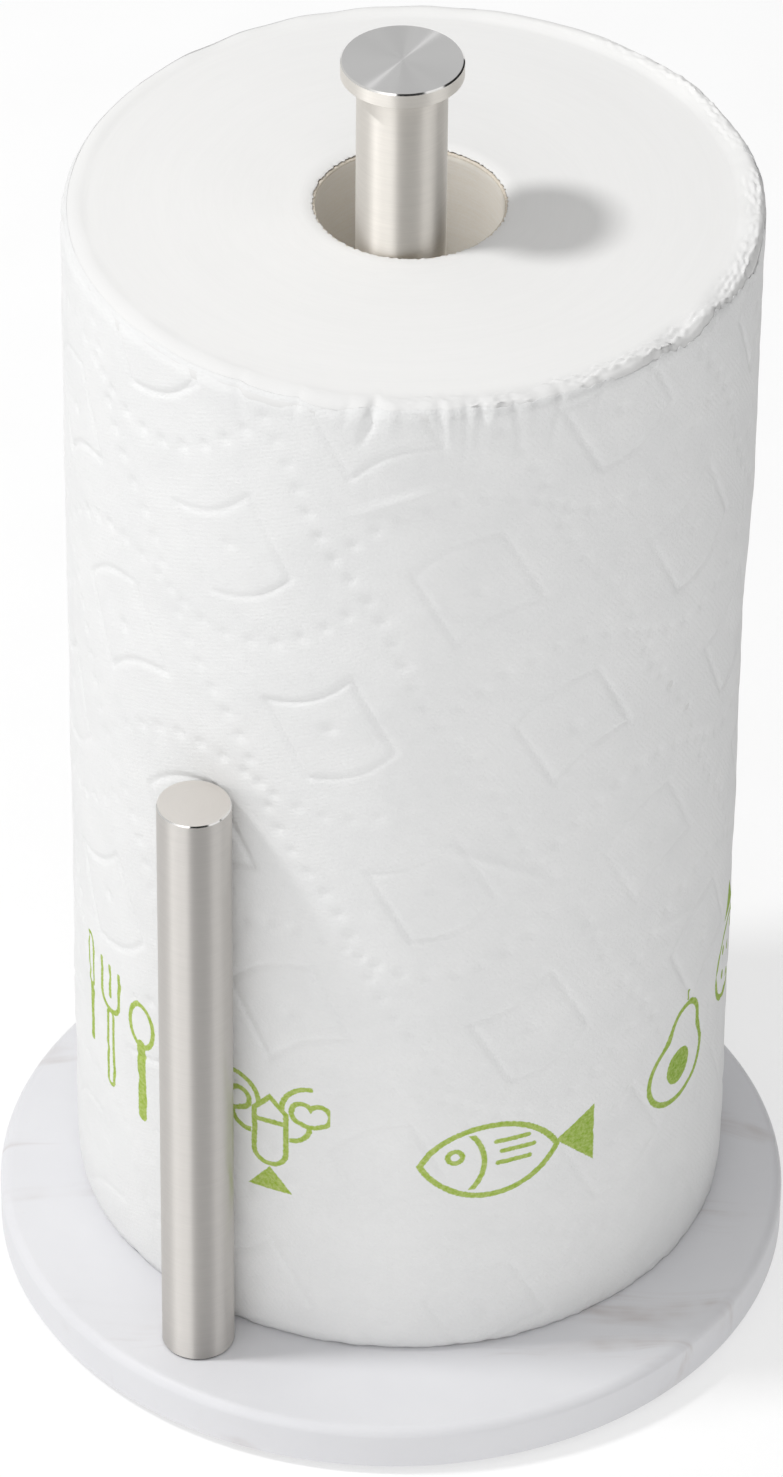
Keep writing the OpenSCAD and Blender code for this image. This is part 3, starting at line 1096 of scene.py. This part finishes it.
def camera():
    """A long lens above the front, a little rolled."""
    pitch = math.radians(CAMERA_PITCH)
    away = Vector((0, -math.cos(pitch), math.sin(pitch)))
    upward = Vector((0, math.sin(pitch), math.cos(pitch)))
    eye = AIM + CAMERA_DISTANCE * away
    look = (AIM - AIM_DROP * upward - eye).normalized()
    lens = bpy.data.cameras.new("camera")
    lens.sensor_width = SENSOR
    lens.lens = LENS
    lens.clip_end = 50
    rig = bpy.data.objects.new("camera", lens)
    rig.rotation_mode = "QUATERNION"
    level = look.to_track_quat("-Z", "Y")
    rig.location = eye
    rig.rotation_quaternion = level @ Quaternion((0, 0, 1), math.radians(CAMERA_ROLL))
    bpy.context.collection.objects.link(rig)
    bpy.context.scene.camera = rig


def lamp(name, size, power, gloss):
    """A round light from the key's direction: it lights the object, or with gloss it is only mirrored in
    its metal."""
    light = bpy.data.lights.new(name, "AREA")
    light.shape = "DISK"
    light.size = size
    light.energy = power
    towards = Vector(KEY_DIRECTION).normalized()
    rig = bpy.data.objects.new(name, light)
    rig.location = Vector((0, 0, 0.15)) + towards * KEY_DISTANCE
    rig.rotation_mode = "QUATERNION"
    rig.rotation_quaternion = (-towards).to_track_quat("-Z", "Y")
    rig.visible_glossy = gloss
    rig.visible_diffuse = not gloss
    bpy.context.collection.objects.link(rig)


def level_ramp(n, stops, share):
    """A grey level from the share of a turn, through (angle, level) stops."""
    result = n.add("ShaderNodeValToRGB", {0: share})
    ramp = result.node.color_ramp
    for angle, level in stops[1:-1]:
        ramp.elements.new(0.5 + angle / 360).color = grey(level)
    for element, (_, level) in ((ramp.elements[0], stops[0]), (ramp.elements[-1], stops[-1])):
        element.color = grey(level)
    return result


def studio_world():
    """A pale room round the object, with a ceiling light that fades out at its edge. Metal mirrors the room's
    softboxes and dark screens; all else gets its soft light, which comes mostly from the camera's side."""
    world = bpy.data.worlds.new("studio")
    world.use_nodes = True
    world.cycles.sampling_method = "NONE"
    bpy.context.scene.world = world
    n = Nodes(world.node_tree)
    direction = n.add("ShaderNodeTexCoord", {}, "Generated")
    heading = n.math("ARCTAN2", n.split(direction, 0), n.times(n.split(direction, 1), -1.0))
    share = n.spread(heading, -math.pi, math.pi)
    rooms = []
    for stops, overhead, middle, edge in (
            (ROOM, OVERHEAD, (-0.35, 0.60, 0.72), 0.30), (SOFT_LIGHT, SOFT_OVERHEAD, (0.0, 0.0, 1.0), 0.55)):
        rise = n.spread(n.vector("DOT_PRODUCT", direction, middle), edge, edge + 0.4, smooth=True)
        rooms.append(n.mix(rise, level_ramp(n, stops, share), grey(overhead)))
    lit = n.mix(n.add("ShaderNodeLightPath", {}, "Is Glossy Ray"), rooms[1], rooms[0])
    shown = n.mix(n.add("ShaderNodeLightPath", {}, "Is Camera Ray"), lit, colour(0.96, 0.96, 0.965))
    n.feed(world.node_tree.nodes["Background"].inputs["Color"], shown)


def floor():
    """A wide pale floor, partly lit by itself so that the object's shadow stays light."""
    size = 6.0
    mesh = bpy.data.meshes.new("floor")
    corners = [(-size, -size, 0), (size, -size, 0), (size, size, 0), (-size, size, 0)]
    mesh.from_pydata(corners, [], [(0, 1, 2, 3)])
    ground = new_object("floor", mesh)
    ground.location.z = -0.0001
    m = Material("floor_paint")
    grain = m.noise(m.place(), 30.0, 3.0)
    m.finish(
        Base_Color=m.mix(grain, grey(0.47), grey(0.50)),
        Roughness=0.9,
        Specular_IOR_Level=0.1,
        Emission_Color=grey(1.0),
        Emission_Strength=FLOOR_GLOW,
    )
    m.result.cycles.emission_sampling = "NONE"
    mesh.materials.append(m.result)


camera()
floor()
studio_world()
lamp("key", 0.30, KEY_POWER, False)
lamp("glint", 0.05, GLINT_POWER, True)
build_holder()
build_fasteners()
build_roll()
bpy.context.scene.view_settings.view_transform = "Standard"
